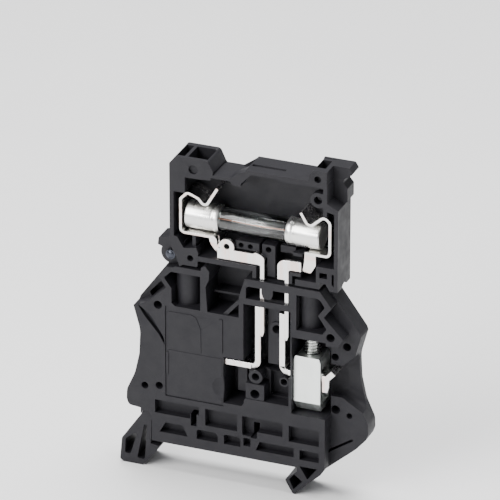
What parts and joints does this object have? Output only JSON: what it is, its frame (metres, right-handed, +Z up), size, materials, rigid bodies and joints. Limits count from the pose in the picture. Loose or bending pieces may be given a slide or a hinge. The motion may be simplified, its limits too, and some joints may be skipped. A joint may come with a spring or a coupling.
{
  "type": "rail-mounted fuse terminal block",
  "caption": "Rail-mounted fuse terminal block with a hinged fuse lever, plug-in blades, screw clamps and a removable glass cartridge fuse.",
  "frame": {"origin": "middle of the rail seat, on the plane of the rail's flanges, half-way through the block's thickness", "axes": "+Z up, away from the rail; +Y along the rail from the open front face to the closed back; +X across the rail, towards the lever's finger grip"},
  "size_m": [0.0587, 0.0082, 0.0808],
  "materials": {
    "housing": "fine satin texture",
    "lever": "fine satin texture",
    "plated_copper": "bright tin plating with bare cut edges",
    "clip_copper": "bright tin plating",
    "zinc_steel": "pale zinc plating",
    "screw_steel": "bright zinc plating",
    "pin_steel": "dark satin",
    "cap_nickel": "nickel plating",
    "glass": "clear",
    "fuse_wire": "drawn wire",
    "solder": "dull"
  },
  "bodies": {
    "base": {"base_housing": "housing", "left_chamber_cover": "housing", "left_bus_bar": "plated_copper", "right_bus_bar": "plated_copper", "hinge_pin": "pin_steel"},
    "lever": {"lever_body": "lever", "left_fuse_clip": "clip_copper", "right_fuse_clip": "clip_copper", "left_carrier_bar": "plated_copper", "right_carrier_bar": "plated_copper"},
    "fuse": {"fuse_left_cap": "cap_nickel", "fuse_right_cap": "cap_nickel", "fuse_glass_tube": "glass", "fuse_left_solder": "solder", "fuse_right_solder": "solder", "fuse_wire": "fuse_wire"},
    "foot": {"release_foot": "housing"},
    "left_screw": {"left_clamp_screw": "screw_steel"},
    "right_screw": {"right_clamp_screw": "screw_steel"},
    "left_cage": {"left_clamp_cage": "zinc_steel"},
    "right_cage": {"right_clamp_cage": "zinc_steel"}
  },
  "joints": [
    {"name": "lever_hinge", "type": "hinge", "parent": "base", "child": "lever", "pos_m": [-0.0128, 0, 0.0472], "axis": [0, -1, 0], "range_deg": [0, 90]},
    {"name": "fuse_pull", "type": "slide", "parent": "lever", "child": "fuse", "axis": [0, -1, 0], "range_m": [0, 0.0095]},
    {"name": "foot_flex", "type": "hinge", "parent": "base", "child": "foot", "pos_m": [-0.0187, 0, 0.0059], "axis": [0, 1, 0], "range_deg": [0, 9], "stiffness_Nm_per_rad": 0.02},
    {"name": "left_screw_turn", "type": "hinge", "parent": "base", "child": "left_screw", "pos_m": [-0.0097, 0.0003, 0.033], "axis": [0, 0, -1], "range_deg": [0, 2418]},
    {"name": "left_cage_rise", "type": "slide", "parent": "base", "child": "left_cage", "axis": [0, 0, 1], "range_m": [0, 0.0047]},
    {"name": "right_screw_turn", "type": "hinge", "parent": "base", "child": "right_screw", "pos_m": [0.0197, 0.0003, 0.033], "axis": [0, 0, -1], "range_deg": [0, 2418]},
    {"name": "right_cage_rise", "type": "slide", "parent": "base", "child": "right_cage", "axis": [0, 0, 1], "range_m": [0, 0.0047]}
  ],
  "couplings": [
    {"joint": "left_screw_turn", "follows": "left_cage_rise", "rad_per_m": 8976},
    {"joint": "right_screw_turn", "follows": "right_cage_rise", "rad_per_m": 8976}
  ]
}
